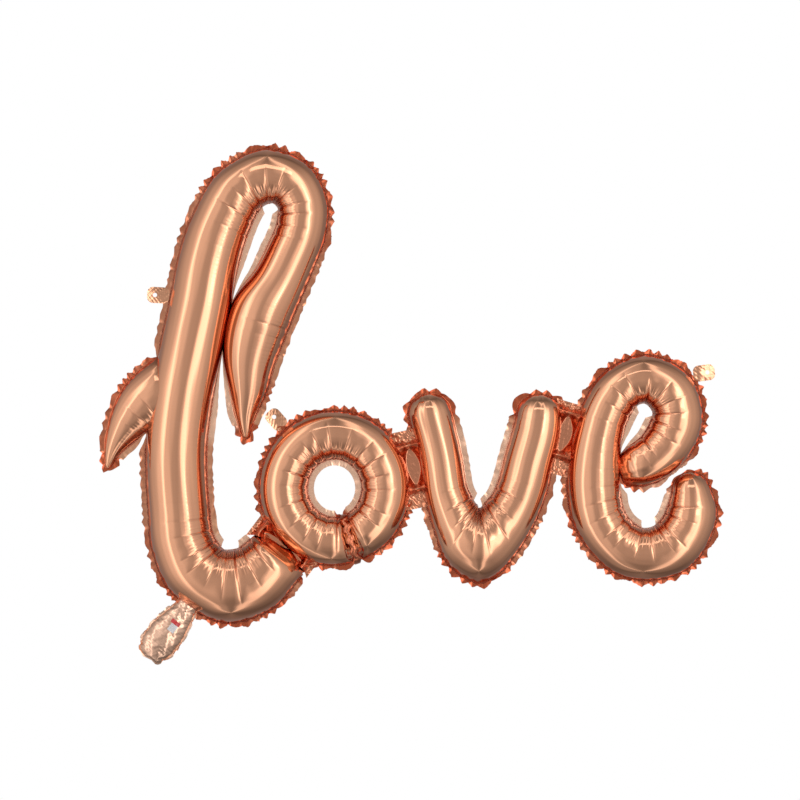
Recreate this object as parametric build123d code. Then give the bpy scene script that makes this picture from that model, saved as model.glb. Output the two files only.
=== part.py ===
from build123d import *
import math
import os

# One-piece script-letter foil balloon, hung by its tabs. Millimetres, +Z up, +X along the word,
# the front faces -Y. The seam plane of the two films is Y = 0, and the origin is the centre of
# the hanging hole in the tab beside the tall letter.

# ---- films -------------------------------------------------------------------------------
FILM = 0.6  # wall that stands for one metallised film
VALVE_FILM = 0.3  # wall that stands for one clear valve film
HEM = 8.5  # width of the welded hem outside every seam
ROUNDNESS = 0.94  # depth of an inflated tube over its width
DEPTH_GROWTH = 0.5  # where a tube is fuller than 1, its depth grows by this power of its width

# ---- inflated tubes: half width of each letter's stroke where its fullness is 1 ---------------
L_HALF = 36.0
O_HALF = 27.6
V_HALF = 28.0
E_HALF = 30.0

# Stations of a stroke: x, z, heading in degrees (0 along +X, 90 along +Z), fullness.
HOOK_AND_LOOP = [
    (107, -165, 91, 0.09),
    (106, -147, 89, 0.26),
    (110, -118, 83, 0.52),
    (115, -79, 80, 0.70),
    (122, -49, 76, 0.82),
    (131, -16, 68, 0.92),
    (146, 15, 65, 0.86),
    (160, 45, 67, 0.82),
    (173, 79, 80, 0.80),
    (174, 106, 102, 0.80),
    (162, 129, 137, 0.83),
    (134, 140, 180, 0.88),
    (104, 127, 217, 0.88),
    (76, 81, 247, 0.94),
]
STEM_AND_FOOT = [
    (62, 36, 255, 0.98),
    (54, -9, 258, 1.00),
    (44, -57, 259, 1.01),
    (31, -124, 262, 1.00),
    (25, -183, 268, 0.98),
    (28, -253, 273, 0.98),
    (32, -290, 287, 1.01),
    (50, -325, 314, 1.09),
    (86, -343, 356, 1.19),
    (118, -334, 24, 1.13),
    (146, -306, 53, 1.00),
]
LEAF = [
    (-55, -200, 72, 0.08),
    (-51, -185, 68, 0.23),
    (-41, -165, 60, 0.48),
    (-28, -145, 51, 0.72),
    (-12, -128, 40, 0.92),
    (6, -116, 30, 1.05),
    (22, -106, 25, 1.08),
    (38, -99, 20, 1.00),
]
V_ARMS = [
    (323, -138, 284, 0.88),
    (331, -167, 283, 0.86),
    (337, -194, 281, 0.86),
    (343, -233, 285, 0.88),
    (353, -262, 312, 1.05),
    (362, -283, 335, 1.37),
    (383, -299, 0, 1.73),
    (404, -280, 26, 1.29),
    (422, -253, 52, 1.06),
    (433, -226, 73, 1.02),
    (440, -197, 76, 1.01),
    (450, -160, 80, 0.99),
    (453, -139, 85, 0.93),
]
E_BAR_AND_TOP = [
    (554, -206, 17, 0.66),
    (566, -202, 24, 0.80),
    (588, -191, 36, 0.90),
    (608, -168, 60, 0.97),
    (616, -143, 86, 0.98),
    (608, -116, 126, 0.98),
    (577, -99, 178, 0.94),
    (547, -112, 222, 0.90),
    (532, -134, 243, 0.91),
    (522, -166, 257, 0.94),
]
E_BACK_AND_FOOT = [
    (522, -166, 257, 0.94),
    (517, -202, 267, 1.01),
    (517, -232, 275, 1.02),
    (523, -263, 293, 1.00),
    (537, -285, 314, 0.98),
    (557, -301, 334, 1.01),
    (584, -305, 5, 1.01),
    (608, -297, 34, 1.05),
    (626, -275, 64, 1.00),
    (633, -249, 88, 0.94),
    (631, -230, 97, 0.72),
]
# How far the rounded end of a tube runs past its first or last station.
POINTED_END = 3.0
BLUNT_END = 6.0
ROUND_END = 20.0
ROUND_STEPS = ((0.6, 0.8), (0.92, 0.4))  # share of that length, and size of the section there

# ---- the ring letter ------------------------------------------------------------------------
RING_X, RING_Z = 211.5, -227.5  # centre of the ring
RING_WIDE = 60.5  # centre of its tube from that point, along X
RING_TALL = 63.0  # the same along Z
RING_STATIONS = 17
RING_WELD = -72.0  # direction of the weld line where the ring's two ends meet
WELD_LINE = 8.0  # width of the flat film along that line

# ---- flexible webs between letters: a weld island with an air channel round each of its ends ----
WEB_L_O = (121.5, -275.0, 179.5, -318.5)  # x, z of one end of the island, then of the other
WEB_O_V = (299.0, -180.0, 308.5, -225.0)
WEB_V_E = (487.5, -141.5, 474.5, -185.0)
WEB_REACH = 15.0  # film of a web on each side of its flex line
WEB_PAST = 15.0  # film of a web past each end of its island
NECK_HALF_LENGTH = 7.0  # air channel at the flex line, along it
NECK_HALF_DEPTH = 3.0
NECK_MOUTH_LENGTH = 8.0  # half length and half depth where the channel opens into a tube
NECK_MOUTH_DEPTH = 9.0
NECK_REACH = 22.0  # from the flex line to that mouth
NECK_LEAN = 8.0  # how far a channel leans towards the middle of its island by then
FLEX_GAP = 0.4  # between the films of two letters on their flex line
NECK_GAP = 1.2  # the same between two air channels, which stand proud of the films

# ---- hanging tabs: base centre x, z on the tube's seam, and the way the tab points -------------
TAB_WIDTH = 19.0
TAB_LENGTH = 21.0  # past its fold line
TAB_HOLE_REACH = 12.0  # from the fold line to the hole's centre
TAB_HOLE_RADIUS = 2.5
TAB_CORNER = 8.0
FOLD_GAP = 0.4  # between a tab's round edge and the film that carries it
TAIL_FOLD_GAP = 0.9  # and at the tail, whose pocket turns closer to its carrier
TAB_L_HEADING = 177.0
TAB_O_HEADING = 131.0
TAB_E_SEAM = (630.5, -94.0)  # seam point that carries the tab on the last letter
TAB_E_HEADING = 8.0

# ---- tail and valve ------------------------------------------------------------------------------
TAIL_SEAM = (35.0, -371.0)  # seam point that carries the tail
TAIL_HEADING = 232.0
TAIL_WIDTH = 42.0
TAIL_LENGTH = 63.0  # past its fold line
TAIL_HEM = 3.0  # welded hem along each side of the tail
TAIL_ROOT_DEPTH = 1.2  # half depth of the pocket at the fold
TAIL_MOUTH_DEPTH = 6.5  # and at its open mouth
VALVE_WIDTH = 24.0
VALVE_MOUTH_INSET = 4.0  # the valve ends this far inside the tail's mouth
VALVE_INSIDE = 80.0  # length of the valve inside the balloon, from the fold
VALVE_SPREAD = 6.5  # between the two valve films at their mouth

PAST_SEAM = 12.0  # degrees of a tube's section behind the seam plane, before it is cut there
SPACE = 2000.0  # size of the block that cuts them off
OVERLAP = 4.0  # how far a tab's or tail's strip of hem runs back over the hem it grows from


def direction(heading):
    return math.cos(math.radians(heading)), math.sin(math.radians(heading))


def ahead(x, z, heading, distance):
    """The point a distance along a heading in the seam plane."""
    dx, dz = direction(heading)
    return x + dx * distance, z + dz * distance


def dome(x, z, heading, width, depth):
    """The front of an ellipse square to a heading, and a little of its back to cut off later."""
    dx, dz = direction(heading)
    plane = Plane(origin=(x, 0, z), x_dir=(-dz, 0, dx), z_dir=(dx, 0, dz))
    start, size = -PAST_SEAM, 180 + 2 * PAST_SEAM
    arc = EllipticalCenterArc((0, 0), width, depth, start_angle=start, arc_size=size)
    return plane * make_face(Curve() + [arc, Line(arc @ 1, arc @ 0)])


def rounding(x, z, heading, width, length):
    """The sections that round off a tube's end: each further along the heading, and smaller."""
    steps = ROUND_STEPS if length else ()
    return [(*ahead(x, z, heading, length * share), width * size) for share, size in steps]


def sections(stroke, inset=0.0):
    """A stroke's cross sections as x, z, heading, half width, with its rounded ends added."""
    stations, half, start_round, end_round = stroke
    found = [(x, z, heading, fullness * half) for x, z, heading, fullness in stations]
    x, z, heading, width = found[0]
    start = rounding(x, z, heading + 180, width, max(start_round - inset, 0))
    found = [(a, b, heading, c) for a, b, c in reversed(start)] + found
    x, z, heading, width = found[-1]
    end = rounding(x, z, heading, width, max(end_round - inset, 0))
    found += [(a, b, heading, c) for a, b, c in end]
    return [(x, z, heading, max(width - inset, inset)) for x, z, heading, width in found]


def tube(stroke, inset=0.0):
    """An inflated tube along a stroke, smaller all round by an inset."""
    half = stroke[1]
    shapes = []
    for x, z, heading, width in sections(stroke, inset):
        depth = min(width, half * (width / half) ** DEPTH_GROWTH) * ROUNDNESS
        shapes.append(dome(x, z, heading, width, depth))
    return loft(shapes)


def patch(corners):
    """The flat four-sided face between corners given in any order."""
    x = sum(corner[0] for corner in corners) / len(corners)
    z = sum(corner[1] for corner in corners) / len(corners)
    ordered = sorted(corners, key=lambda corner: math.atan2(corner[1] - z, corner[0] - x))
    return make_face(Polyline(*ordered, close=True))


def hem(stroke):
    """The flat film under and around a tube, a hem wider than the tube all round."""
    places = sections(stroke)
    x, z, heading, width = places[0]
    before = (*ahead(x, z, heading + 180, HEM), heading, width)
    x, z, heading, width = places[-1]
    after = (*ahead(x, z, heading, HEM), heading, width)
    pairs = []
    for x, z, heading, width in [before, *places, after]:
        pairs.append([ahead(x, z, heading + side, width + HEM) for side in (90, -90)])
    pieces = [patch([*pair, *following]) for pair, following in zip(pairs, pairs[1:])]
    return pieces[0].fuse(*pieces[1:])


def film_plate(region):
    """Front film of a flat region drawn with x as X and y as Z."""
    return extrude(Plane.XZ * region, amount=FILM)


def web_heading(web):
    x0, z0, x1, z1 = web
    return math.degrees(math.atan2(z1 - z0, x1 - x0))


def web_centre(web):
    x0, z0, x1, z1 = web
    return (x0 + x1) / 2, (z0 + z1) / 2


def web_length(web):
    x0, z0, x1, z1 = web
    return math.hypot(x1 - x0, z1 - z0)


def web_region(web):
    x, z = web_centre(web)
    length = web_length(web) + 2 * WEB_PAST
    return Pos(x, z) * Rot(0, 0, web_heading(web)) * Rectangle(length, 2 * WEB_REACH)


def neck(web, end, side, inset=0.0):
    """The half of an air channel at one end of an island, on one side of the flex line."""
    x, z = (web[0], web[1]) if end == 0 else (web[2], web[3])
    along = web_heading(web)
    heading = along + side * 90
    inward = along + end * 180
    far = ahead(*ahead(x, z, heading, NECK_REACH), inward, NECK_LEAN)
    near = ahead(x, z, heading, -NECK_GAP if inset else 0)
    pinch = dome(*near, heading, NECK_HALF_LENGTH - inset, NECK_HALF_DEPTH - inset)
    mouth = dome(*far, heading, NECK_MOUTH_LENGTH - inset, NECK_MOUTH_DEPTH - inset)
    return loft([pinch, mouth])


def web_side(web, side):
    """Cutters that leave only the film on one side of a web's flex line, near that web."""
    x, z = web_centre(web)
    length = web_length(web) + 6 * WEB_PAST
    depth = 2 * max(L_HALF, O_HALF, V_HALF, E_HALF)

    def block(gap, front):
        width = 2 * WEB_REACH
        middle = ahead(x, z, web_heading(web) - side * 90, width / 2 - gap / 2)
        tall = Box(length, depth, width, align=(Align.CENTER, Align.MAX, Align.CENTER))
        turn = Rot(0, -web_heading(web), 0)
        return Pos(middle[0], front, middle[1]) * turn * tall

    return block(FLEX_GAP, depth / 2) + block(NECK_GAP, -FILM)


def strip(point, heading, width, start, end):
    """A flat strip of film that runs along a heading from a seam point."""
    x, z = ahead(*point, heading, (start + end) / 2)
    return Pos(x, z) * Rot(0, 0, heading) * Rectangle(end - start, width)


def front_half(solid):
    return solid & Box(SPACE, SPACE, SPACE, align=(Align.CENTER, Align.MAX, Align.CENTER))


def letter(strokes, flats, webs):
    """Front film of a letter: domes and hem in one piece, hollow behind, cut off at its webs."""
    outer = tube(strokes[0])
    inner = tube(strokes[0], FILM)
    for stroke in strokes[1:]:
        outer += tube(stroke)
        inner += tube(stroke, FILM)
    for web, side in webs:
        for end in (0, 1):
            outer += neck(web, end, side)
            inner += neck(web, end, side, FILM)
    flat = flats[0].fuse(*flats[1:], *[web_region(web) for web, _ in webs])
    front = front_half(outer) + film_plate(flat) - inner
    for web, side in webs:
        front -= web_side(web, side)
    return front


def fold_point(seam, heading):
    """Centre of the fold line of a tab or tail that grows from a seam point."""
    return ahead(*seam, heading, HEM)


def tab(seam, heading):
    """A hanging tab: both films welded together, with a hole near its rounded end."""
    fold = fold_point(seam, heading)
    corner = min(TAB_CORNER, TAB_WIDTH / 2 - 0.1)
    outline = Rectangle(TAB_LENGTH, TAB_WIDTH, align=(Align.MIN, Align.CENTER))
    far = outline.vertices().sort_by(Axis.X)[-2:]
    outline = fillet(far, corner) - Pos(TAB_HOLE_REACH, 0) * Circle(TAB_HOLE_RADIUS)
    flat = Pos(*fold) * Rot(0, 0, heading) * outline
    plate = extrude(Plane.XZ * flat, amount=FILM, both=True)
    return plate + fold_edge(fold, heading, TAB_WIDTH)


def fold_edge(fold, heading, width):
    """The round edge of two welded films on a fold line."""
    dx, dz = direction(heading)
    plane = Plane(origin=(fold[0], 0, fold[1]), x_dir=(0, 1, 0), z_dir=(-dz, 0, dx))
    return extrude(plane * Circle(FILM), amount=width / 2, both=True)


def carry_strip(seam, heading, width, gap=FOLD_GAP):
    """The hem that carries a fold, up to the clearance round the fold's edge."""
    return strip(seam, heading, width, -OVERLAP, HEM - FILM - gap)


def clear_of_fold(seam, heading, width, gap):
    """Cutter for the hem in front of a fold line."""
    start = HEM - FILM - gap
    x, z = ahead(*seam, heading, start)
    block = Rectangle(3 * HEM, width + 2 * FOLD_GAP, align=(Align.MIN, Align.CENTER))
    return extrude(Plane.XZ * (Pos(x, z) * Rot(0, 0, heading) * block), amount=3 * FILM, both=True)


def pocket(inset):
    """The space of the tail from its fold to its mouth, smaller all round by an inset."""
    fold = fold_point(TAIL_SEAM, TAIL_HEADING)
    half = TAIL_WIDTH / 2 - TAIL_HEM - inset
    past = OVERLAP if inset else 0
    grow = (TAIL_MOUTH_DEPTH - TAIL_ROOT_DEPTH) / TAIL_LENGTH
    start = ahead(*fold, TAIL_HEADING, -past)
    end = ahead(*fold, TAIL_HEADING, TAIL_LENGTH + past)
    root_depth = max(TAIL_ROOT_DEPTH - grow * past - inset, VALVE_FILM)
    root = dome(*start, TAIL_HEADING, half, root_depth)
    mouth = dome(*end, TAIL_HEADING, half, TAIL_MOUTH_DEPTH + grow * past - inset)
    return loft([root, mouth])


def tail_front():
    """Front film of the tail: an open pocket with a hem on each side and a round edge at its fold."""
    fold = fold_point(TAIL_SEAM, TAIL_HEADING)
    flat = strip(fold, TAIL_HEADING, TAIL_WIDTH, 0, TAIL_LENGTH)
    edge = fold_edge(fold, TAIL_HEADING, TAIL_WIDTH)
    return front_half(pocket(0) + edge) + film_plate(flat) - pocket(FILM)


def valve_inside():
    """Front valve film inside the balloon, between the panels at the seam."""
    end = HEM - FILM - TAIL_FOLD_GAP
    flat = strip(TAIL_SEAM, TAIL_HEADING, VALVE_WIDTH, -VALVE_INSIDE, end)
    return extrude(Plane.XZ * flat, amount=VALVE_FILM)


def valve_mouth():
    """Front valve film in the tail, leaning open from the fold to the mouth."""
    fold = fold_point(TAIL_SEAM, TAIL_HEADING)
    dx, dz = direction(TAIL_HEADING)
    length = TAIL_LENGTH - VALVE_MOUTH_INSET
    start = FILM + FOLD_GAP
    side = Plane(origin=(fold[0], 0, fold[1]), x_dir=(dx, 0, dz), z_dir=(-dz, 0, dx))
    lean = side.to_local_coords(Vector(fold[0], -1, fold[1])).Y
    open_end = VALVE_SPREAD / 2 * lean
    film = VALVE_FILM * lean
    outline = Polyline(
        (start, 0), (length, open_end), (length, open_end + film), (start, film), close=True
    )
    return extrude(side * make_face(outline), amount=VALVE_WIDTH / 2, both=True)


def ring_stations():
    """Stations round the ring letter, from one side of its weld line to the other."""
    turn = math.degrees((WELD_LINE / 2 + BLUNT_END) / RING_WIDE)
    start, sweep = RING_WELD + turn, 360 - 2 * turn
    stations = []
    for i in range(RING_STATIONS):
        angle = math.radians(start + sweep * i / (RING_STATIONS - 1))
        dx, dz = -RING_WIDE * math.sin(angle), RING_TALL * math.cos(angle)
        x = RING_X + RING_WIDE * math.cos(angle)
        z = RING_Z + RING_TALL * math.sin(angle)
        stations.append((x, z, math.degrees(math.atan2(dz, dx)), 1.0))
    return stations


def ring_hem():
    """The flat film of the ring letter, with its weld line closed and its middle open."""
    middle = Pos(RING_X, RING_Z)
    outside = Ellipse(RING_WIDE + O_HALF + HEM, RING_TALL + O_HALF + HEM)
    inside = Ellipse(RING_WIDE - O_HALF - HEM, RING_TALL - O_HALF - HEM)
    return middle * outside - middle * inside


def ring_seam(heading):
    """The point of the ring letter's outer seam in a direction from its centre."""
    dx, dz = direction(heading)
    return RING_X + (RING_WIDE + O_HALF) * dx, RING_Z + (RING_TALL + O_HALF) * dz


os.makedirs("parts", exist_ok=True)

TAB_L_SEAM = ahead(0, 0, TAB_L_HEADING + 180, TAB_HOLE_REACH + HEM)
TAB_O_SEAM = ring_seam(TAB_O_HEADING)

TABS = {
    "tab_l": (TAB_L_SEAM, TAB_L_HEADING),
    "tab_o": (TAB_O_SEAM, TAB_O_HEADING),
    "tab_e": (TAB_E_SEAM, TAB_E_HEADING),
}


def with_fold(front, seam, heading, width, gap=FOLD_GAP):
    """A letter's film with its hem cut back in front of a fold line."""
    return front - clear_of_fold(seam, heading, width, gap)


L_STROKE = (HOOK_AND_LOOP + STEM_AND_FOOT, L_HALF, POINTED_END, BLUNT_END)
LEAF_STROKE = (LEAF, L_HALF, POINTED_END, BLUNT_END)
RING_STROKE = (ring_stations(), O_HALF, BLUNT_END, BLUNT_END)
V_STROKE = (V_ARMS, V_HALF, ROUND_END, ROUND_END)
E_TOP_STROKE = (E_BAR_AND_TOP, E_HALF, BLUNT_END, 0)
E_FOOT_STROKE = (E_BACK_AND_FOOT, E_HALF, 0, ROUND_END)

l_front = letter(
    [L_STROKE, LEAF_STROKE],
    [
        hem(L_STROKE),
        hem(LEAF_STROKE),
        carry_strip(TAB_L_SEAM, TAB_L_HEADING, TAB_WIDTH),
        carry_strip(TAIL_SEAM, TAIL_HEADING, TAIL_WIDTH, TAIL_FOLD_GAP),
    ],
    [(WEB_L_O, -1)],
)
l_front = with_fold(l_front, TAB_L_SEAM, TAB_L_HEADING, TAB_WIDTH)
l_front = with_fold(l_front, TAIL_SEAM, TAIL_HEADING, TAIL_WIDTH, TAIL_FOLD_GAP)
l_front = l_front - valve_inside()

o_front = letter(
    [RING_STROKE],
    [ring_hem(), carry_strip(TAB_O_SEAM, TAB_O_HEADING, TAB_WIDTH)],
    [(WEB_L_O, 1), (WEB_O_V, -1)],
)
o_front = with_fold(o_front, TAB_O_SEAM, TAB_O_HEADING, TAB_WIDTH)

v_front = letter(
    [V_STROKE],
    [hem(V_STROKE)],
    [(WEB_O_V, 1), (WEB_V_E, -1)],
)

e_front = letter(
    [E_TOP_STROKE, E_FOOT_STROKE],
    [
        hem(E_TOP_STROKE),
        hem(E_FOOT_STROKE),
        carry_strip(TAB_E_SEAM, TAB_E_HEADING, TAB_WIDTH),
    ],
    [(WEB_V_E, 1)],
)
e_front = with_fold(e_front, TAB_E_SEAM, TAB_E_HEADING, TAB_WIDTH)

FILMS = {
    "letter_l": l_front,
    "letter_o": o_front,
    "letter_v": v_front,
    "letter_e": e_front,
    "tail": tail_front(),
    "valve_inside": valve_inside(),
    "valve_mouth": valve_mouth(),
}

for name, film in FILMS.items():
    export_step(film, f"parts/{name}_front.step")
    export_step(mirror(film, about=Plane.XZ), f"parts/{name}_back.step")

for name, (seam, heading) in TABS.items():
    export_step(tab(seam, heading), f"parts/hanging_{name}.step")

for name, film in FILMS.items():
    print(name, round(film.volume), film.is_valid, len(film.solids()))
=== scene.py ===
import math
from concurrent.futures import ThreadPoolExecutor

import bpy
import numpy as np
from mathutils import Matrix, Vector


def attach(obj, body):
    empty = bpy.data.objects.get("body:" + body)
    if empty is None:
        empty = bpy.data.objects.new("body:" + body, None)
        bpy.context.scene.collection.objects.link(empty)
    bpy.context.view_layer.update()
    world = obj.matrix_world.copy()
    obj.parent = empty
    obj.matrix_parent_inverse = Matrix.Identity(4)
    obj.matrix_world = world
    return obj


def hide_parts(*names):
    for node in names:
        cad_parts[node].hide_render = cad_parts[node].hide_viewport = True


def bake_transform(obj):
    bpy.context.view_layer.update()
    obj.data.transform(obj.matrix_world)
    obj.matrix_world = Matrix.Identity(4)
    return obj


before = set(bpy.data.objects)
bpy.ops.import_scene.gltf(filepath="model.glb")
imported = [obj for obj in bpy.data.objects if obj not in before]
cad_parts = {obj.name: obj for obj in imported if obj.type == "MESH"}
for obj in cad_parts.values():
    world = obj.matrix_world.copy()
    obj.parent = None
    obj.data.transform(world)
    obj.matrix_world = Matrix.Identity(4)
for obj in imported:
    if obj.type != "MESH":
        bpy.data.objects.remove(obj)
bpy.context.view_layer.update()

MM = 0.001
norm = np.linalg.norm

# Strokes in mm: x, z, heading in degrees, and share of the stroke's half width. They are the part's
# own, but for a fuller hook beside the stem, the bottom of the v and the end of the l's foot.
L_HALF, O_HALF, V_HALF, E_HALF = 36.0, 27.6, 28.0, 30.0
HOOK_AND_LOOP = [
    (107, -165, 91, 0.09), (106, -147, 89, 0.26), (108.5, -118, 83, 0.56),
    (110, -78, 80, 0.84), (116.5, -47.5, 76, 0.97), (128, -15, 68, 1.00),
    (146, 15, 65, 0.86), (160, 45, 67, 0.82), (173, 79, 80, 0.80),
    (174, 106, 102, 0.80), (162, 129, 137, 0.83), (134, 140, 180, 0.88),
    (104, 127, 217, 0.88), (76, 81, 247, 0.94),
]
STEM_AND_FOOT = [
    (62, 36, 255, 0.98), (54, -9, 258, 1.00), (44, -57, 259, 1.01),
    (31, -124, 262, 1.00), (25, -183, 268, 0.98), (28, -253, 273, 0.98),
    (32, -290, 287, 1.01), (50, -325, 314, 1.09), (86, -343, 356, 1.19),
    (118, -334, 24, 1.13), (148, -303.5, 53, 1.00),
]
LEAF = [
    (-55, -200, 72, 0.08), (-51, -185, 68, 0.23), (-41, -165, 60, 0.48),
    (-28, -145, 51, 0.72), (-12, -128, 40, 0.92), (6, -116, 30, 1.05),
    (22, -106, 25, 1.08),
]
V_ARMS = [
    (323, -138, 284, 0.88), (331, -167, 283, 0.86), (337, -194, 281, 0.86),
    (343, -233, 285, 0.88), (353, -262, 312, 1.05), (362, -282, 335, 1.37),
    (372, -292, 350, 1.50), (383, -295, 0, 1.59), (394, -290, 13, 1.46),
    (404, -279, 26, 1.29), (422, -253, 52, 1.06), (433, -226, 73, 1.02),
    (440, -197, 76, 1.01), (450, -160, 80, 0.99), (453, -139, 85, 0.93),
]
E_BAR_AND_TOP = [
    (554, -206, 17, 0.66), (566, -202, 24, 0.80), (588, -191, 36, 0.90),
    (608, -168, 60, 0.97), (616, -143, 86, 0.98), (608, -116, 126, 0.98),
    (577, -99, 178, 0.94), (547, -112, 222, 0.90), (532, -134, 243, 0.91),
]
E_BACK_AND_FOOT = [
    (522, -166, 257, 0.94), (517, -202, 267, 1.01), (517, -232, 275, 1.02),
    (523, -263, 293, 1.00), (537, -285, 314, 0.98), (557, -301, 334, 1.01),
    (584, -305, 5, 1.01), (608, -297, 34, 1.05), (626, -275, 64, 1.00),
    (633, -249, 88, 0.94), (631, -230, 97, 0.72),
]
RING_CENTRE = (211.5, -227.5)
RING_WIDE = 60.5
RING_TALL = 63.0
RING_STATIONS = 17
RING_WELD = -72.0
WELD_RIDGE = 1.0
WELD_TEETH = 4.5

# How far a stroke's end reaches past its last station, and how square its corners are
POINTED_END = 3.0
BLUNT_END = 6.0
ROUND_END = 20.0
SQUARENESS = {POINTED_END: 1.0, BLUNT_END: 0.3, ROUND_END: 0.8}
BLUNT_ROWS = 6
END_SWEEP = 0.985  # share of a quarter turn, so that no end closes to a point
LEAST_WIDTH = 0.6
BLUNT_SLOPE = 14.0  # the tube sinks over this length towards a blunt end
BLUNT_SINK = 0.85

# The welds between letters: the two ends of each flat island, and the film round it
WEB_L_O = (121.5, -275, 179.5, -318.5)
WEB_O_V = (299, -180, 308.5, -225)
WEB_V_E = (487.5, -141.5, 474.5, -185)
WEB_TUCK = 4.0
WEB_ENDS = 2.0
WEB_CLEAR = 15.0
WEB_MOUTH = 27.0
WEB_LOOKS, WEB_ROWS, WEB_COLUMNS = 300, 170, 41
NECK_HEIGHT = 9.0
NECK_SPAN = 3.5
EYE_SHARE = 0.62

TAB_WIDTH = 19.0
TAB_LENGTH = 21.0
TAB_CORNER = 7.0
TAB_HOLE_REACH = 12.0
TAB_HOLE_RADIUS = 2.5
TAIL_SEAM = (35, -371)
TAIL_HEADING = 232.0
TAIL_WIDTH = 42.0
TAIL_STATIONS = ((-9, 0.62), (0, 0.66), (12, 0.80), (26, 0.95), (42, 1.0), (56, 0.95), (63, 0.82))

# How the foil is cut into cells, and how it is blown up
FINE_STEPS = 4001
ROW_STEP = 1.3
COLUMNS = 36
HEM = 8.5
HEM_COLUMNS = 4
BEND_REACH = 9
RISE_REACH = 12
MOST_RISE = 3.0
FLATNESS = 0.94  # depth of a full tube as a share of its half width
STIFFNESS = 0.1
CRUMPLE = 0.05  # how uneven the film is before it is blown up
SINGLE = np.float32  # the solver's numbers
STEPS = 420
SOLVER_PASSES = 2
PRESSURE = 0.03
FULL, PART = SINGLE(1), SINGLE(0.5)  # how much of its error a link takes up in one pass
HEM_STIFFNESS = SINGLE(0.2)
PROP_SPAN = SINGLE(0.9)
DRAG = SINGLE(0.9)
SEAM_HOLD = 9  # rows each way over which a seam is held to its outline
SEAM_PULL = SINGLE(0.1)
MIDDLE_PULL = SINGLE(0.02)
IRON_REACH = 11
IRON_PASSES = 2

# Spare film beside the seams of a bend, as shares of its length and of the way across
TIGHT = 0.55
INNER_EXCESS = 0.05
INNER_REACH = 0.40
OUTER_EXCESS = 0.14
OUTER_REACH = 0.12
HEM_EXCESS = 0.10

# The hem: its share of a slit, what is near it or shelters it, and the teeth that puckers leave
SLIT_HEM = 0.32
HALFWAY = 0.5
LEAST_HEM = 0.8
SAME_SEAM = 14
HEM_SIGHT = 5
SHELTER = 72.0
SHELTER_SIGHT = 8
HEM_EASE = 5
OUTLINE_SPAN = 12
HOLLOW_HEM = 0.6  # widest hem in a hollow, as a share of its radius
TOOTH = 14.0
TOOTH_DEPTH = 0.65
TOOTH_FOLD = 1.9

# Creases that fan out of the inner seam of a bend, and the finest pleats beside it
LONG_CREASES = dict(pitch=(15.0, 24.0), depth=2.3, reach=(0.52, 0.68), sharp=0.9, puff=5.0)
SHORT_CREASES = dict(pitch=(3.4, 6.5), depth=0.75, reach=(0.24, 0.46), sharp=0.6, puff=1.6)
PLEAT_PITCH = 5.0
PLEAT_REACH = 0.45
# how far from each seam the painted shade reaches, as a share of the way across
PAINTED_SHADE_RIM = 0.28


# ---- strokes ----


def place(x, z, heading, along, across=0):
    """Point in X and Z at distances along a heading and to its left."""
    turn = math.radians(heading)
    return (
        x + along * math.cos(turn) - across * math.sin(turn),
        z + along * math.sin(turn) + across * math.cos(turn),
    )


def lengths(points):
    """Lengths of the steps from each point of a line to the next."""
    return norm(np.diff(points, axis=0), axis=1)


def travelled(points):
    """Distance gone along a line at each of its points."""
    return np.concatenate([[0], np.cumsum(lengths(points))])


def hann(reach):
    """Weights of a smooth average that reaches that many rows each way."""
    return np.hanning(2 * reach + 3)[1:-1]


def eased(values, window):
    """A row of values averaged with those weights, its ends held."""
    padded = np.pad(values, len(window) // 2, mode="edge")
    return np.convolve(padded, window / window.sum(), mode="valid")


def round_mean(values, reach):
    """Each value of a closed row averaged with its neighbours."""
    count = len(values)
    padded = np.take(values, np.arange(-reach, count + reach), axis=0, mode="wrap")
    return np.mean([padded[k : k + count] for k in range(2 * reach + 1)], axis=0)


def ring_stations():
    """The o's tube, once round from one side of its weld line to the other."""
    turn = math.degrees((WELD_RIDGE / 2 + BLUNT_END) / RING_WIDE)
    start, sweep = RING_WELD + turn, 360 - 2 * turn
    stations = []
    for i in range(RING_STATIONS):
        angle = math.radians(start + sweep * i / (RING_STATIONS - 1))
        wide, tall = math.cos(angle), math.sin(angle)
        heading = math.degrees(math.atan2(RING_TALL * wide, -RING_WIDE * tall))
        x = RING_CENTRE[0] + RING_WIDE * wide
        z = RING_CENTRE[1] + RING_TALL * tall
        stations.append((x, z, heading, 1.0))
    return stations


def smooth_through(points):
    """A smooth curve through rows of points, spaced by their first two columns, and its length."""
    at = travelled(points[:, :2])
    tangents = np.gradient(points, at, axis=0)

    def value(where):
        k = np.clip(np.searchsorted(at, where, side="right") - 1, 0, len(points) - 2)
        length = (at[k + 1] - at[k])[:, None]
        u = ((where - at[k]) / length[:, 0])[:, None]
        return (
            (2 * u**3 - 3 * u**2 + 1) * points[k]
            + (u**3 - 2 * u**2 + u) * length * tangents[k]
            + (3 * u**2 - 2 * u**3) * points[k + 1]
            + (u**3 - u**2) * length * tangents[k + 1]
        )

    return value, at[-1]


def cap(left, right, rise, onward, reach):
    """Rows that round a stroke's end off, from its last seam points."""
    centre = (left + right) / 2
    width = norm(left - right) / 2
    across = (left - right) / (2 * width)
    along = onward * np.array([across[1], -across[0]])
    rows = max(int(round(math.pi / 4 * (width + reach) / ROW_STEP)), 3)
    if reach == BLUNT_END:
        rows = BLUNT_ROWS
    turns = math.pi / 2 * END_SWEEP * np.arange(1, rows + 1) / rows
    centres = centre + along * (reach * np.sin(turns))[:, None]
    widths = np.maximum(width * np.cos(turns) ** SQUARENESS[reach], LEAST_WIDTH)[:, None]
    ends = centres + across * widths, centres - across * widths
    return *ends, rise * np.cos(turns), np.ones(rows, bool)


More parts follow.
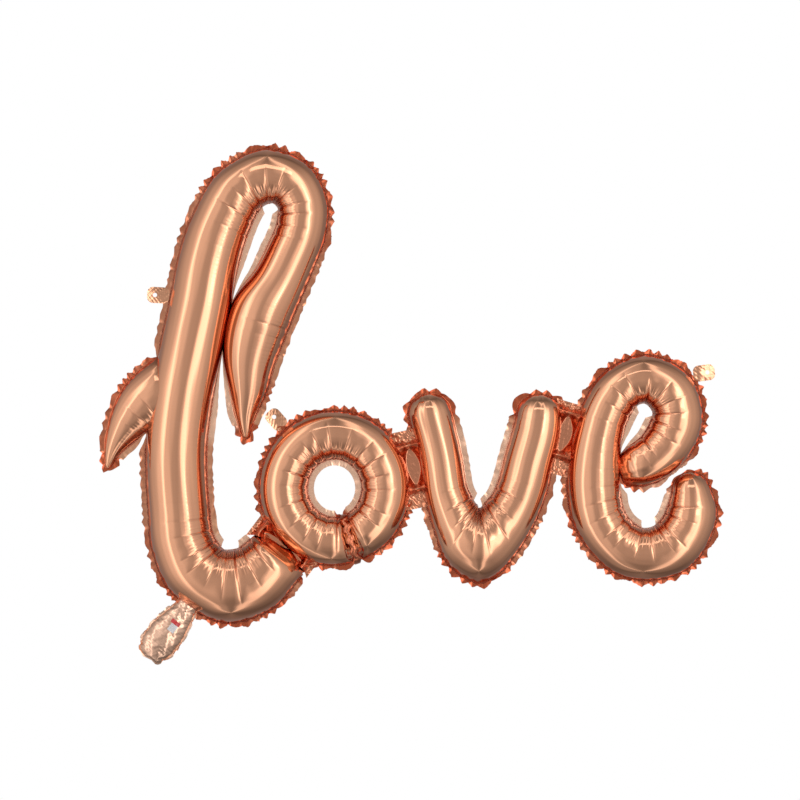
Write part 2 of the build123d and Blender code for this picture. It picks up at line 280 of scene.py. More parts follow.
def seams(stations, half, start_round, end_round, slope):
    """A stroke row by row: left and right seam points, how high it rises, and if it's in an end."""
    rows = []
    for x, z, heading, fullness in stations:
        left = place(x, z, heading + 90, fullness * half)
        right = place(x, z, heading - 90, fullness * half)
        rows.append((x, z, *left, *right))
    curve, length = smooth_through(np.array(rows, float))
    fine = np.linspace(0, length, FINE_STEPS)
    points = curve(fine)
    spans = [lengths(points[:, k : k + 2]) for k in (0, 2, 4)]
    gone = np.concatenate([[0], np.cumsum(np.max(spans, axis=0))])
    count = max(int(round(gone[-1] / ROW_STEP)), 4)
    points = curve(np.interp(np.linspace(0, gone[-1], count + 1), gone, fine))
    left, right = points[:, 2:4], points[:, 4:6]
    rise = np.minimum(norm(left - right, axis=1) / 2 / half, MOST_RISE)
    rise = eased(np.where(rise > 1, np.sqrt(rise), rise), hann(RISE_REACH))
    gone = travelled((left + right) / 2)
    for reach, from_end in ((end_round, gone[-1] - gone), (start_round, gone)):
        if reach == BLUNT_END:
            inside = np.clip(from_end / slope, 0, 1)
            rise *= np.sqrt(1 - BLUNT_SINK * (1 - inside) ** 2)
    parts = (left, right, rise, np.zeros(len(left), bool))
    if end_round:
        more = cap(left[-1], right[-1], rise[-1], 1, end_round)
        parts = [np.concatenate([a, b]) for a, b in zip(parts, more)]
    if start_round:
        more = cap(left[0], right[0], rise[0], -1, start_round)
        parts = [np.concatenate([b[::-1], a]) for a, b in zip(parts, more)]
    return parts


def beside(weld, points):
    """Distances along and to the left of a weld line, for points in X and Z, and its length."""
    x0, z0, x1, z1 = weld
    length = math.hypot(x1 - x0, z1 - z0)
    way = np.array([x1 - x0, z1 - z0]) / length
    offset = points - np.array([x0, z0])
    return offset @ way, offset @ np.array([-way[1], way[0]]), length


def crinkle(seed, waves, length):
    """Low crumpling of a flat film: a few crossing waves of about that length, in mm."""
    random = np.random.default_rng(seed)
    turns = random.uniform(0, np.pi, waves)
    pitches = 2 * np.pi / (length * random.uniform(0.6, 1.8, waves))
    phases = random.uniform(0, 2 * np.pi, waves)

    def height(u, v):
        total = np.zeros_like(u)
        for turn, pitch, phase in zip(turns, pitches, phases):
            ridge = np.sin(pitch * (u * np.cos(turn) + v * np.sin(turn)) + phase)
            total += 1 - 2 * np.abs(ridge) ** 0.6
        return total / waves

    return height


# ---- foil that is blown up ----


def pull(a, b, rest, share, prop=False):
    """Moves two sets of points towards their rest distance, a prop only if they are nearer."""
    gap = b - a
    length = np.sqrt(np.einsum("...i,...i->...", gap, gap)) + SINGLE(1e-9)
    stretch = length - rest
    if prop:
        stretch = np.minimum(stretch, 0)
    gap *= (share * SINGLE(0.5) * stretch / length)[..., None]
    a += gap
    b -= gap


def normals_of(points, along):
    """Unit normals of a film of closed rows, whose points lie that way along the stroke."""
    normals = np.cross(np.roll(points, -1, 1) - np.roll(points, 1, 1), along)
    return normals / np.maximum(norm(normals, axis=2, keepdims=True), 1e-6)


class Foil:
    """A stroke of two films: a closed ring of points on each row, and a hem outside the seams."""

    def __init__(
        self, name, body, stations, half, ends, seed, columns=COLUMNS, hem=HEM, flatness=FLATNESS,
        slope=BLUNT_SLOPE, slack=0.0, crumple=CRUMPLE, pressure=PRESSURE, stiffness=STIFFNESS
    ):
        self.name, self.body = name, body
        self.columns, self.hem, self.crumple = columns, hem, crumple
        self.pressure, self.stiffness = SINGLE(pressure), SINGLE(stiffness)
        self.random = np.random.default_rng(seed)
        left, right, rise, in_cap = seams(stations, half, *ends, slope)
        self.swell(left, right, flatness * half * rise)
        self.find_bends(in_cap)
        self.cut_panels(slack)
        self.walk_round()
        self.painted_crease_shade = np.zeros(self.points.shape[:2])

    def swell(self, left, right, depth):
        """Points of the blown tube: half an ellipse in front of the seams and half behind."""
        across = left - right
        self.half_widths = norm(across, axis=1) / 2
        self.normals = across / (2 * self.half_widths[:, None])
        self.centres = (left + right) / 2
        ring = 2 * self.columns
        turns = np.pi * np.arange(ring) / self.columns
        width = self.half_widths[:, None, None]
        flat = self.centres[:, None] + self.normals[:, None] * width * np.cos(turns)[None, :, None]
        self.points = np.empty((len(left), ring, 3))
        self.points[:, :, [0, 2]] = flat
        self.points[:, :, 1] = -depth[:, None] * np.sin(turns)
        columns = np.arange(self.columns + 1)
        self.share = np.concatenate([columns, columns[-2:0:-1]]) / self.columns

    def find_bends(self, in_cap):
        """How far the stroke turns from row to row, and how tight that is for its width."""
        along = np.stack([self.normals[:, 1], -self.normals[:, 0]], axis=1)
        bend = along[:-1, 0] * along[1:, 1] - along[:-1, 1] * along[1:, 0]
        bend = np.where(in_cap[:-1] | in_cap[1:], 0, bend)
        self.bend = eased(bend, np.hanning(2 * BEND_REACH + 1))
        curl = self.bend / np.maximum(lengths(self.centres), 0.2)
        self.tightness = np.clip(np.abs(curl) * self.half_widths[1:] / TIGHT, 0, 1)
        self.row_tightness = np.append(self.tightness[:1], self.tightness)

    def from_inner(self, bend):
        """How far across each point lies from the inner seam of its row's bend."""
        return np.where(bend[:, None] > 0, self.share, 1 - self.share)

    def row_inner(self):
        return self.from_inner(np.append(self.bend[:1], self.bend))

    def cut_panels(self, slack):
        """Rest lengths of the blown shape, with spare film by the seams of its bends."""
        inner = self.from_inner(self.bend)
        pleats = INNER_EXCESS * np.clip(1 - inner / INNER_REACH, 0, 1) ** 0.7
        outer = OUTER_EXCESS * np.clip(1 - (1 - inner) / OUTER_REACH, 0, 1)
        excess = 1 + slack + self.tightness[:, None] * (pleats + outer)
        here, after = self.points[:-1], self.points[1:]
        along = norm(after - here, axis=2)
        longer = along**2 * (excess**2 - 1)
        slant = norm(np.roll(after, -1, 1) - here, axis=2)
        other = norm(after - np.roll(here, -1, 1), axis=2)
        around = norm(np.roll(self.points, -1, 1) - self.points, axis=2)
        self.rest_along = (along * excess).astype(SINGLE)
        self.rest_slant = np.sqrt(slant**2 + longer).astype(SINGLE)
        self.rest_other = np.sqrt(other**2 + longer).astype(SINGLE)
        self.rest_around = np.maximum(around, 0.02).astype(SINGLE)

    def walk_round(self):
        """The closed line of seam points, with each one's outward direction."""
        rows = np.arange(len(self.points))
        columns = np.repeat([0, self.columns], len(rows))
        self.seam = np.concatenate([rows, rows[::-1]]), columns
        self.line = self.points[self.seam][:, [0, 2]]
        tangent = np.roll(self.line, -1, 0) - np.roll(self.line, 1, 0)
        tangent /= np.maximum(norm(tangent, axis=1, keepdims=True), 1e-9)
        self.outward = np.stack([-tangent[:, 1], tangent[:, 0]], axis=1)
        heading = np.arctan2(tangent[:, 1], tangent[:, 0])
        self.line_turn = (np.roll(heading, -1) - heading + np.pi) % (2 * np.pi) - np.pi
        self.hem_widths = np.full(len(self.line), self.hem)
        self.sheltered = np.zeros(len(self.line))

    def trim_hem(self, others):
        """Lets the hem reach part of the way to a seam near it, and finds where it is sheltered."""
        crowd = np.vstack([other.line for other in others if other is not self])
        count = len(self.line)
        places = np.arange(count)
        for i, way in enumerate(self.outward):
            apart = np.abs(places - i)
            across = np.minimum(apart, count - apart) > SAME_SEAM
            for line, share, counts in ((self.line, SLIT_HEM, across), (crowd, HALFWAY, True)):
                gap = line - self.line[i]
                out, side = gap @ way, np.abs(gap @ np.array([way[1], -way[0]]))
                near = counts & (out > 0) & (side < HEM_SIGHT) & (out < self.hem / share)
                if line is self.line:
                    facing = across & (out > 0) & (side < SHELTER_SIGHT) & (out < SHELTER)
                    self.sheltered[i] = facing.any()
                if near.any():
                    reach = max(out[near].min() * share, LEAST_HEM)
                    self.hem_widths[i] = min(self.hem_widths[i], reach)
        self.hem_widths = np.minimum(round_mean(self.hem_widths, HEM_EASE), self.hem)
        self.sheltered *= np.clip(1 + 45 * self.outline_bend(), 0, 1)
        self.sheltered = round_mean(self.sheltered, HEM_EASE)

    def clear_web(self, weld):
        """Leaves no loose hem beside the weld that joins this letter to the next."""
        along, across, length = beside(weld, self.line)
        near = (along > -WEB_ENDS) & (along < length + WEB_ENDS) & (np.abs(across) < WEB_CLEAR)
        self.hem_widths[near] = np.minimum(self.hem_widths[near], LEAST_HEM)

    def outline_bend(self):
        """How fast the outline turns at each seam point, per mm: positive where it is hollow."""
        steps = norm(np.roll(self.line, -1, 0) - self.line, axis=1)
        weights = np.ones(2 * OUTLINE_SPAN + 1)
        turn, run = (
            np.convolve(np.pad(values, OUTLINE_SPAN, mode="wrap"), weights, mode="valid")
            for values in (self.line_turn, steps)
        )
        return turn / run

    def jut(self, straight, steep=55, least=0):
        """How far the outline juts at each seam point: 1 outside bends, less where straight."""
        return np.clip(straight - steep * self.outline_bend(), least, 1)

    def sew_hem(self):
        """Lays the hem out in loose teeth, cuts it to length, and gets the foil ready to blow."""
        count = len(self.line)
        steps = np.arange(1, HEM_COLUMNS + 1) / HEM_COLUMNS
        narrow = HOLLOW_HEM / np.maximum(self.outline_bend(), 0.001)
        self.hem_widths = np.minimum(self.hem_widths, narrow)
        reach = self.hem_widths[:, None] * steps[None]
        hem = np.zeros((count, HEM_COLUMNS, 3))
        hem[:, :, [0, 2]] = self.line[:, None] + self.outward[:, None] * reach[:, :, None]
        seam_rest = np.empty(count)
        rows, columns = self.seam
        for i, j in enumerate(np.roll(np.arange(count), -1)):
            if columns[i] == columns[j]:
                seam_rest[i] = self.rest_along[min(rows[i], rows[j]), columns[i]]
            else:
                seam_rest[i] = norm(self.line[i] - self.line[j])
        gone = np.cumsum(seam_rest)
        phase = gone / TOOTH + 0.25 * np.sin(gone / 23) + 0.17 * np.sin(gone / 9.1 + 1)
        tooth = np.abs(2 * (phase % 1) - 1)
        convex = self.jut(0.5, 60)
        flip = np.where((phase + 0.5) % 2 > 1, -1, 1) * (0.35 + 0.65 * convex)
        hem[:, :, 1] += TOOTH_FOLD * (flip * tooth)[:, None] * steps
        hem[:, :, 1] += self.random.normal(0, 0.08, (count, HEM_COLUMNS))
        notch = 1 - TOOTH_DEPTH * (0.25 + 0.75 * convex) * (1 - tooth)
        hem[:, :, [0, 2]] += (self.line[:, None] - hem[:, :, [0, 2]]) * (1 - notch)[:, None, None]
        self.hem_points = hem.astype(SINGLE)
        ruffled = seam_rest[:, None] * (1 + HEM_EXCESS * convex[:, None] * steps[None])
        rest = ruffled - self.line_turn[:, None] * reach
        self.rest_hem = np.maximum(rest, 0.3).astype(SINGLE)
        self.rest_seam = seam_rest.astype(SINGLE)
        step_out = (self.hem_widths * notch / HEM_COLUMNS)[:, None]
        self.rest_out = np.repeat(step_out, HEM_COLUMNS, 1).astype(SINGLE)
        self.points += self.random.normal(0, self.crumple, self.points.shape)
        self.points = self.points.astype(SINGLE)
        self.target = self.points.copy()
        self.speed = np.zeros_like(self.points)
        self.hem_speed = np.zeros_like(self.hem_points)
        across = np.roll(self.points, -1, 1) - np.roll(self.points, 1, 1)
        normals = np.cross(across[1:-1], self.points[2:] - self.points[:-2])
        outwards = self.points[1:-1] - self.points[1:-1].mean(axis=1, keepdims=True)
        self.outside = SINGLE(np.sign((outwards * normals).sum()))

    def relax_film(self):
        """Draws the film's cells back to their rest lengths, and props them against folding."""
        points, rows, ring = self.points, len(self.points), 2 * self.columns
        along, around = self.rest_along, self.rest_around
        for p in (0, 1):
            pull(points[p : rows - 1 : 2], points[p + 1 : rows : 2], along[p : rows - 1 : 2], FULL)
        pull(points[:, 0::2], points[:, 1::2], around[:, 0::2], FULL)
        pull(points[:, 1 : ring - 1 : 2], points[:, 2:ring:2], around[:, 1 : ring - 1 : 2], FULL)
        pull(points[:, ring - 1], points[:, 0], around[:, ring - 1], FULL)
        for p in (0, 1):
            low, high = points[p : rows - 1 : 2], points[p + 1 : rows : 2]
            slant, other = self.rest_slant[p : rows - 1 : 2], self.rest_other[p : rows - 1 : 2]
            pull(low[:, :-1], high[:, 1:], slant[:, :-1], PART)
            pull(low[:, -1], high[:, 0], slant[:, -1], PART)
            pull(low[:, 1:], high[:, :-1], other[:, :-1], PART)
            pull(low[:, 0], high[:, -1], other[:, -1], PART)
        along = (along[:-1] + along[1:]) * PROP_SPAN
        around = around * 2 * PROP_SPAN
        for p in range(4):
            low, high = slice(p, rows - 2, 4), slice(p + 2, rows, 4)
            pull(points[low], points[high], along[low], self.stiffness, prop=True)
            low, high = slice(p, ring - 2, 4), slice(p + 2, ring, 4)
            pull(points[:, low], points[:, high], around[:, low], self.stiffness, prop=True)

    def relax_hem(self):
        """The same for the hem, together with the seam that it hangs on."""
        count, rest = len(self.line), self.rest_hem
        seam = self.points[self.seam]
        strip = np.concatenate([seam[:, None], self.hem_points], axis=1)
        both = np.concatenate([self.rest_seam[:, None], rest], axis=1)
        slant = np.sqrt(both[:, :-1] * both[:, 1:] + self.rest_out**2)
        pairs = [(slice(p, count - 1, 2), slice(p + 1, count, 2)) for p in (0, 1)]
        for low, high in pairs:
            pull(strip[low, 1:], strip[high, 1:], rest[low], FULL)
        pull(strip[count - 1 :, 1:], strip[:1, 1:], rest[count - 1 :], FULL)
        for p in (0, 1):
            inside, outside = slice(p, HEM_COLUMNS, 2), slice(p + 1, HEM_COLUMNS + 1, 2)
            pull(strip[:, inside], strip[:, outside], self.rest_out[:, inside], FULL)
        for low, high in pairs:
            pull(strip[low, :-1], strip[high, 1:], slant[low], PART)
            pull(strip[low, 1:], strip[high, :-1], slant[low], PART)
        along = (rest[:-1] + rest[1:]) * PROP_SPAN
        for p in range(4):
            low, high = slice(p, count - 2, 4), slice(p + 2, count, 4)
            pull(strip[low, 1:], strip[high, 1:], along[low], HEM_STIFFNESS, prop=True)
        self.points[self.seam] = strip[:, 0]
        self.hem_points[:] = strip[:, 1:]

    def settle_seams(self):
        """Draws the seams, averaged over a short stretch, back to the letter's outline."""
        for column in (0, self.columns):
            drift = self.target[:, column] - self.points[:, column]
            padded = np.pad(drift, ((SEAM_HOLD, SEAM_HOLD), (0, 0)), mode="edge")
            sums = np.cumsum(padded, axis=0)
            mean = (sums[2 * SEAM_HOLD :] - sums[: -2 * SEAM_HOLD]) / (2 * SEAM_HOLD)
            self.points[:, column] += SEAM_PULL * mean[: len(drift)]

    def blow(self, steps):
        """Presses the film outwards and lets it relax, over and over."""
        for _ in range(steps):
            before, hem_before = self.points.copy(), self.hem_points.copy()
            along = np.empty_like(before)
            along[1:-1] = before[2:] - before[:-2]
            along[0] = before[1] - before[0]
            along[-1] = before[-1] - before[-2]
            push = normals_of(before, along) * (self.outside * self.pressure)
            self.points += self.speed * DRAG + push
            self.hem_points += self.hem_speed * DRAG
            for _ in range(SOLVER_PASSES):
                self.relax_film()
                self.relax_hem()
            drift = self.target.mean(axis=1) - self.points.mean(axis=1)
            self.points += (MIDDLE_PULL * drift)[:, None]
            self.settle_seams()
            self.speed = np.clip(self.points - before, -1, 1)
            self.hem_speed = np.clip(self.hem_points - hem_before, -1, 1)

    def iron(self):
        """Evens the film out along the stroke, away from its seams, where the gas holds it taut."""
        rows = len(self.points)
        window = hann(IRON_REACH)
        window /= window.sum()
        taut = np.clip(np.minimum(self.share, 1 - self.share) / 0.11 - 0.25, 0, 1)
        from_end = np.minimum(np.arange(rows), np.arange(rows)[::-1])
        inside = np.clip(from_end / IRON_REACH, 0, 1)
        amount = (inside[:, None] * taut)[:, :, None].astype(SINGLE)
        for _ in range(IRON_PASSES):
            padded = np.pad(self.points, ((IRON_REACH, IRON_REACH), (0, 0), (0, 0)), mode="edge")
            even = sum(SINGLE(weight) * padded[k : k + rows] for k, weight in enumerate(window))
            self.points += amount * (even - self.points)

    def crease(self):
        """Presses creases into the film, which fan out of the inner seam where the stroke bends."""
        gone = travelled(self.centres)
        inner = self.row_inner()
        sink = np.zeros(inner.shape)
        for family in (LONG_CREASES, SHORT_CREASES):
            for side in (0, 1):
                columns = slice(self.columns * side, self.columns * (side + 1))
                half = inner[:, columns]
                at = self.random.uniform(0, family["pitch"][0])
                while at < gone[-1]:
                    deep = self.random.uniform(0.5, 1.0) * family["depth"]
                    reach = self.random.uniform(*family["reach"])
                    off = np.abs(gone[:, None] + self.random.uniform(-6, 6) * half - at)
                    fade = np.clip(1 - half / reach, 0, 1) ** 0.5 * np.clip(half / 0.05, 0, 1)
                    puff = np.exp(-(((off - 1.3 * family["puff"]) / family["puff"]) ** 2))
                    groove = np.exp(-off / family["sharp"]) - 0.3 * puff
                    sink[:, columns] += deep * fade * groove
                    at += self.random.uniform(*family["pitch"])
        sink *= (np.clip(self.row_tightness * 1.6 - 0.15, 0, 1))[:, None]
        # painted shade: how much darker red each crease is drawn
        self.painted_crease_shade = np.clip(sink / 1.3 - 0.15, 0, 0.75)
        along = np.empty_like(self.points)
        along[1:-1] = self.points[2:] - self.points[:-2]
        along[0], along[-1] = along[1], along[-2]
        inward = normals_of(self.points, along) * (self.outside * sink[:, :, None])
        self.points -= inward.astype(SINGLE)

    def fold_teeth(self):
        """Lays the hem out from the settled seam as folded teeth, the deepest outside bends."""
        seam = self.points[self.seam].astype(float)
        smooth = round_mean(seam, 7)
        tangent = np.roll(smooth, -3, 0) - np.roll(smooth, 3, 0)
        out = np.stack([-tangent[:, 2], np.zeros(len(seam)), tangent[:, 0]], axis=1)
        out /= np.maximum(norm(out, axis=1, keepdims=True), 1e-9)
        gone = np.cumsum(norm(np.roll(self.line, -1, 0) - self.line, axis=1))
        phase = gone / TOOTH + (0.45 * np.sin(gone / 21 + 1) + 0.3 * np.sin(gone / 8.7))
        number = np.floor(phase).astype(int)
        number -= number.min()
        size, lean, skew = (
            self.random.uniform(low, high, number.max() + 1)[number]
            for low, high in ((0.7, 1.1), (-0.9, 0.9), (0.38, 0.62))
        )
        within = phase % 1
        tooth = np.where(within < skew, within / skew, (1 - within) / (1 - skew))
        convex = self.jut(0.35, least=0.08) * (1 - 0.8 * self.sheltered)
        reach = self.hem_widths * (1 - TOOTH_DEPTH * convex * (1 - size * tooth))
        lift = TOOTH_FOLD * (0.25 + 0.75 * convex) * (tooth - 0.5 + lean * tooth)
        limit = np.clip(self.hem_widths / self.hem, 0, 1)
        steps = np.arange(1, HEM_COLUMNS + 1) / HEM_COLUMNS
        hem = seam[:, None] + out[:, None] * (reach[:, None] * steps)[:, :, None]
        hem[:, :, 1] += (limit * lift)[:, None] * steps**0.8
        sway = crinkle(int(gone[-1]), 5, 14.0)(hem[:, :, 0], hem[:, :, 2])
        hem[:, :, 1] += 0.8 * limit[:, None] * sway * steps
        self.hem_points = hem.astype(SINGLE)

    def pleat_mask(self):
        """How finely pleated the film is: most by the inner seam of a tight bend."""
        fade = np.clip(1 - self.row_inner() / PLEAT_REACH, 0, 1) ** 0.7
        return np.clip(self.row_tightness * 1.5, 0, 1)[:, None] * fade

    def painted_shade_mask(self):
        """Painted shade: deeper red where the film mirrors itself, beside its seams, among its
        pleats and in creases.
        """
        rim = np.clip(1 - np.minimum(self.share, 1 - self.share) / PAINTED_SHADE_RIM, 0, 1) ** 1.5
        return np.clip(rim + 0.30 * self.pleat_mask() + self.painted_crease_shade, 0, 1)

    def grids(self):
        """Points, the faces of the front film, back film and hem, and the points' values."""
        rows, ring = self.points.shape[:2]
        film = np.arange(rows * ring).reshape(rows, ring)
        hem = film.size + np.arange(len(self.line) * HEM_COLUMNS).reshape(-1, HEM_COLUMNS)
        strip = np.concatenate([film[self.seam][:, None], hem], axis=1)
        hem_faces = grid_faces(np.concatenate([strip, strip[:1]]).T)
        around = np.concatenate([film, film[:, :1]], axis=1)
        front = grid_faces(around[:, : self.columns + 1])
        back = grid_faces(around[:, self.columns :])
        points = np.concatenate([self.points.reshape(-1, 3), self.hem_points.reshape(-1, 3)])

        def values(on_film, on_hem=0.0):
            on_film = np.broadcast_to(on_film, film.shape).ravel()
            on_hem = np.repeat(np.broadcast_to(on_hem, len(hem)), HEM_COLUMNS)
            return np.concatenate([on_film, on_hem])

        # painted shade on the hem: deeper red where the outline juts, little where it is sheltered
        hem_painted_shade = self.jut(0.38) * (1 - 0.9 * self.sheltered)
        attributes = {
            "pleat": values(self.pleat_mask()),
            "along": values(travelled(self.centres)[:, None]),
            "across": values(self.share),
            # painted shade on the film and the hem
            "deep": values(self.painted_shade_mask(), hem_painted_shade),
            # painted highlight on the hem where it is sheltered
            "pale": values(0.0, self.sheltered),
        }
        return points, front, back, hem_faces, attributes


# ---- meshes ----


def grid_faces(index):
    """Quads between the rows and columns of a grid of point numbers."""
    corners = [index[:-1, :-1], index[:-1, 1:], index[1:, 1:], index[1:, :-1]]
    return np.stack(corners, axis=-1).reshape(-1, 4)


def mesh_piece(name, points, faces, attributes, skin):
    """A smooth mesh from points in mm, keeping only the points that its faces use."""
    used, faces = np.unique(faces, return_inverse=True)
    faces = faces.reshape(-1, 4)
    mesh = bpy.data.meshes.new(name)
    mesh.from_pydata((points[used] * MM).tolist(), [], faces.tolist())
    mesh.polygons.foreach_set("use_smooth", np.ones(len(faces), bool))
    for key, values in attributes.items():
        layer = mesh.attributes.new(key, "FLOAT", "POINT")
        layer.data.foreach_set("value", values[used].astype(SINGLE))
    mesh.validate()
    mesh.update()
    piece = bpy.data.objects.new(name, mesh)
    bpy.context.collection.objects.link(piece)
    mesh.materials.append(skin)
    return piece


# ---- materials ----

ROSE = (0.77, 0.37, 0.212)
# painted shade: the deeper red that the film is drawn in where it mirrors itself
ROSE_PAINTED_SHADE = (0.50, 0.10, 0.036)
# painted highlight: the tail's film is drawn paler than the letters' foil
ROSE_PAINTED_LIGHTER = (0.82, 0.50, 0.35)
# painted highlight: the paler colour of sheltered hem
HEM_PAINTED_HIGHLIGHT = (0.92, 0.56, 0.385)
PRINT_RED = (0.55, 0.03, 0.03)
PRINT_PALE = (0.62, 0.60, 0.60)
FILM_CLEAR = (0.80, 0.78, 0.76)
FOIL_ROUGHNESS = 0.10
COAT_WEIGHT = 0.3
COAT_IOR = 1.62
COAT_ROUGHNESS = 0.06
# Marks on the tail: middle and half size along it and to its left, in mm, and ink
MARKS = [((24.0, 2.0, 5.5, 4.5), PRINT_PALE), ((17.5, 1.0, 2.4, 6.0), PRINT_RED)]


class Graph:
    """The shader nodes of a material or a world, with short ways to add more."""

    def __init__(self, owner):
        owner.use_nodes = True
        self.nodes, self.links = owner.node_tree.nodes, owner.node_tree.links

    def feed(self, socket, value):
        """Sets a socket to a value, or links it to another socket."""
        if isinstance(value, (int, float, tuple)):
            socket.default_value = value
        else:
            self.links.new(value, socket)

    def attribute(self, name):
        node = self.nodes.new("ShaderNodeAttribute")
        node.attribute_name = name
        return node.outputs["Fac"]

    def maths(self, operation, *inputs):
        node = self.nodes.new("ShaderNodeMath")
        node.operation = operation
        for socket, value in zip(node.inputs, inputs):
            self.feed(socket, value)
        return node.outputs[0]

    def mixed(self, factor, under, over):
        node = self.nodes.new("ShaderNodeMix")
        node.data_type = "RGBA"
        for key, value in (("Factor", factor), ("A", under), ("B", over)):
            self.feed(node.inputs[key], value)
        return node.outputs["Result"]

    def noise(self, along, across):
        """Noise in the film's own directions: cells per mm along it, and per way across."""
        spread = self.nodes.new("ShaderNodeCombineXYZ")
        for socket, name, scale in zip(spread.inputs, ("along", "across"), (along, across)):
            self.feed(socket, self.maths("MULTIPLY", self.attribute(name), scale))
        node = self.nodes.new("ShaderNodeTexNoise")
        node.inputs["Scale"].default_value = 1.0
        node.inputs["Detail"].default_value = 1.0
        self.feed(node.inputs["Vector"], spread.outputs[0])
        return node.outputs["Fac"]

    def bump(self, height, metres, over=None):
        node = self.nodes.new("ShaderNodeBump")
        node.inputs["Strength"].default_value = 1.0
        node.inputs["Distance"].default_value = metres
        self.feed(node.inputs["Height"], height)
        if over is not None:
            self.feed(node.inputs["Normal"], over)
        return node.outputs[0]


def material(name, colour, metallic, roughness):
    made = bpy.data.materials.new(name)
    graph = Graph(made)
    surface = graph.nodes["Principled BSDF"].inputs
    surface["Base Color"].default_value = (*colour, 1)
    surface["Metallic"].default_value = metallic
    surface["Roughness"].default_value = roughness
    if metallic:
        surface["Coat Weight"].default_value = COAT_WEIGHT
        surface["Coat IOR"].default_value = COAT_IOR
        surface["Coat Roughness"].default_value = COAT_ROUGHNESS
    return made, graph, surface


def pleated_foil(name):
    """Metallised film: painted shade, red where it mirrors itself, a pale painted highlight where
    its hem is sheltered, pleated in bends.
    """
    made, graph, surface = material(name, ROSE, 1.0, FOIL_ROUGHNESS)
    deep, pale = graph.attribute("deep"), graph.attribute("pale")
    # painted shade: the base colour goes deeper red by the deep value
    tint = graph.mixed(deep, (*ROSE, 1), (*ROSE_PAINTED_SHADE, 1))
    # painted highlight: sheltered hem turns pale
    graph.feed(surface["Base Color"], graph.mixed(pale, tint, (*HEM_PAINTED_HIGHLIGHT, 1)))
    rough = graph.maths("MULTIPLY_ADD", deep, 0.08, FOIL_ROUGHNESS)
    graph.feed(surface["Roughness"], graph.maths("MULTIPLY_ADD", pale, 0.18, rough))
    shift = graph.maths("MULTIPLY", graph.noise(0.16, 1.2), 9.0)
    turns = graph.maths("MULTIPLY_ADD", graph.attribute("along"), 2 * math.pi / PLEAT_PITCH, shift)
    fold = graph.maths("MULTIPLY", graph.maths("SINE", turns), graph.attribute("pleat"))
    pleats = graph.bump(fold, 0.00022)
    streaks = graph.bump(graph.noise(0.006, 7.0), 0.0014, pleats)
    graph.feed(surface["Normal"], streaks)
    return made


def printed_foil(name):
    """Metallised film painted paler than the letters' foil, a painted highlight, with the tail's
    marks, which lie in print_u and print_v.
    """
    made, graph, surface = material(name, ROSE_PAINTED_LIGHTER, 1.0, 0.2)
    colour, metal = (*ROSE_PAINTED_LIGHTER, 1), 1.0
    for (u, v, half_u, half_v), ink in MARKS:
        inside = 1.0
        for key, middle, half in (("print_u", u, half_u), ("print_v", v, half_v)):
            off = graph.maths("SUBTRACT", graph.attribute(key), middle)
            near = graph.maths("LESS_THAN", graph.maths("ABSOLUTE", off), half)
            inside = graph.maths("MULTIPLY", inside, near)
        colour = graph.mixed(inside, colour, (*ink, 1))
        metal = graph.maths("MULTIPLY", metal, graph.maths("SUBTRACT", 1.0, inside))
    graph.feed(surface["Base Color"], colour)
    graph.feed(surface["Metallic"], metal)
    return made


foil = pleated_foil("rose_gold_foil")
tail_foil = printed_foil("printed_foil")
valve_film = material("valve_film", FILM_CLEAR, 0.0, 0.35)[0]


# ---- the balloon ----

sharp, closed, rounded = (POINTED_END, BLUNT_END), (BLUNT_END, BLUNT_END), (ROUND_END, ROUND_END)
letters = [
    Foil("l", "letter_l", HOOK_AND_LOOP + STEM_AND_FOOT, L_HALF, sharp, 11, slope=7.0),
    Foil("leaf", "letter_l", LEAF, L_HALF, sharp, 12, flatness=0.55),
    Foil("o", "letter_o", ring_stations(), O_HALF, closed, 13, slope=5.0),
    Foil("v", "letter_v", V_ARMS, V_HALF, rounded, 14),
    Foil("e", "letter_e", E_BAR_AND_TOP + E_BACK_AND_FOOT, E_HALF, (BLUNT_END, ROUND_END), 15),
]
NODES = {letter: (f"letter_{letter}_front", f"letter_{letter}_back") for letter in "love"}
tail_stations = [
    (*place(*TAIL_SEAM, TAIL_HEADING, at), TAIL_HEADING, wide) for at, wide in TAIL_STATIONS
]
tail = Foil(
    "tail_sleeve", "tail", tail_stations, TAIL_WIDTH / 2, (0, BLUNT_END), 51, columns=26, hem=3.0,
    flatness=0.42, slack=0.07, crumple=0.6, pressure=0.012, stiffness=0.3
)

for stroke in letters:
    stroke.trim_hem(letters)
    for weld in (WEB_L_O, WEB_O_V, WEB_V_E):
        stroke.clear_web(weld)
    stroke.sew_hem()
tail.sew_hem()

with ThreadPoolExecutor(4) as crew:
    list(crew.map(lambda stroke: stroke.blow(STEPS), [*letters, tail]))
for stroke in letters:
    stroke.iron()
    stroke.crease()
    stroke.fold_teeth()
tail.fold_teeth()
folds = crinkle(52, 6, 15.0)(tail.points[:, :, 0], tail.points[:, :, 2])
near_seam = np.sin(np.pi * tail.share)[None]
tail.points[:, :, 1] += (2.2 * folds * near_seam).astype(SINGLE)


def dress(stroke, nodes, skin, more=()):
    """The front and back film of a stroke as two pieces, the front one with the hem."""
    points, front, back, hem_faces, values = stroke.grids()
    values = {**values, **dict(more)}
    made = []
    for side, faces in (("front", np.concatenate([front, hem_faces])), ("back", back)):
        piece = mesh_piece(f"{stroke.name}_{side}", points, faces, values, skin)
        made.append(piece)
    for piece, node in zip(made, nodes):
        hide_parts(node)
    return made


for stroke in letters:
    for piece in dress(stroke, NODES.get(stroke.name, ()), foil):
        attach(piece, stroke.body)

tail_line = (*TAIL_SEAM, *place(*TAIL_SEAM, TAIL_HEADING, TAIL_WIDTH))
along, across, _ = beside(tail_line, tail.grids()[0][:, [0, 2]])
prints = {"print_u": along, "print_v": across}
for piece in dress(tail, ("tail_front", "tail_back"), tail_foil, prints.items()):
    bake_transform(piece)


